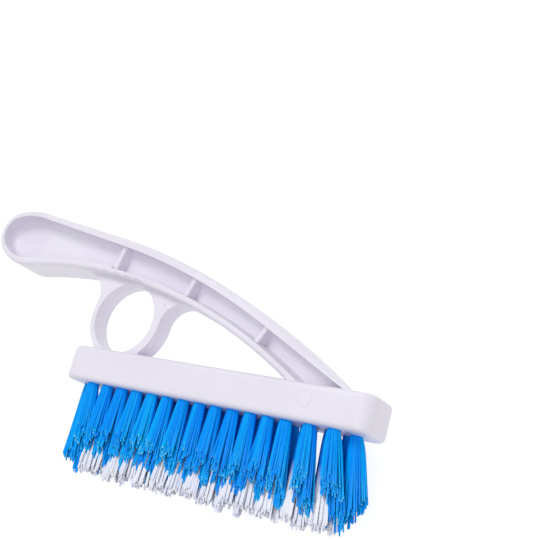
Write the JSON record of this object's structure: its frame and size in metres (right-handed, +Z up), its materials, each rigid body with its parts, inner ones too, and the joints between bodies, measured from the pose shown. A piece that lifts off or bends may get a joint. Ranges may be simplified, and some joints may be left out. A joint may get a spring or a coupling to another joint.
{
  "type": "grout brush",
  "caption": "Hand brush for tile grout: an arched, channelled plastic handle with a finger ring, moulded in one with a long block of blue and white bristle tufts trimmed to a wedge.",
  "frame": {"origin": "centre of the tuft block's flat back face, on which the brush lies", "axes": "+X along the tuft block away from the handle's butt, +Y from the bristles to the handle, +Z up, from the back face to the side that faces the viewer"},
  "size_m": [0.2005, 0.1046, 0.0198],
  "materials": {
    "white_plastic": "satin, injection moulded",
    "blue_bristle": "glossy filament",
    "white_bristle": "glossy filament",
    "anchor_steel": "bright drawn"
  },
  "bodies": {
    "root": {"back_blue_tuft_01": "blue_bristle", "back_blue_tuft_02": "blue_bristle", "back_blue_tuft_03": "blue_bristle", "back_blue_tuft_04": "blue_bristle", "back_blue_tuft_05": "blue_bristle", "back_blue_tuft_06": "blue_bristle", "back_blue_tuft_07": "blue_bristle", "back_blue_tuft_08": "blue_bristle", "back_blue_tuft_09": "blue_bristle", "back_blue_tuft_10": "blue_bristle", "back_blue_tuft_11": "blue_bristle", "back_blue_tuft_12": "blue_bristle", "back_blue_tuft_13": "blue_bristle", "back_blue_tuft_14": "blue_bristle", "back_blue_tuft_15": "blue_bristle", "back_row_anchors": "anchor_steel", "front_blue_tuft_01": "blue_bristle", "front_blue_tuft_02": "blue_bristle", "front_blue_tuft_03": "blue_bristle", "front_blue_tuft_04": "blue_bristle", "front_blue_tuft_05": "blue_bristle", "front_blue_tuft_06": "blue_bristle", "front_blue_tuft_07": "blue_bristle", "front_blue_tuft_08": "blue_bristle", "front_blue_tuft_09": "blue_bristle", "front_blue_tuft_10": "blue_bristle", "front_blue_tuft_11": "blue_bristle", "front_blue_tuft_12": "blue_bristle", "front_blue_tuft_13": "blue_bristle", "front_blue_tuft_14": "blue_bristle", "front_blue_tuft_15": "blue_bristle", "front_row_anchors": "anchor_steel", "left_end_blue_tuft": "blue_bristle", "middle_row_anchors": "anchor_steel", "middle_white_tuft_01": "white_bristle", "middle_white_tuft_02": "white_bristle", "middle_white_tuft_03": "white_bristle", "middle_white_tuft_04": "white_bristle", "middle_white_tuft_05": "white_bristle", "middle_white_tuft_06": "white_bristle", "middle_white_tuft_07": "white_bristle", "middle_white_tuft_08": "white_bristle", "middle_white_tuft_09": "white_bristle", "middle_white_tuft_10": "white_bristle", "middle_white_tuft_11": "white_bristle", "middle_white_tuft_12": "white_bristle", "middle_white_tuft_13": "white_bristle", "middle_white_tuft_14": "white_bristle", "moulded_body": "white_plastic", "right_end_blue_tuft": "blue_bristle"}
  },
  "joints": []
}
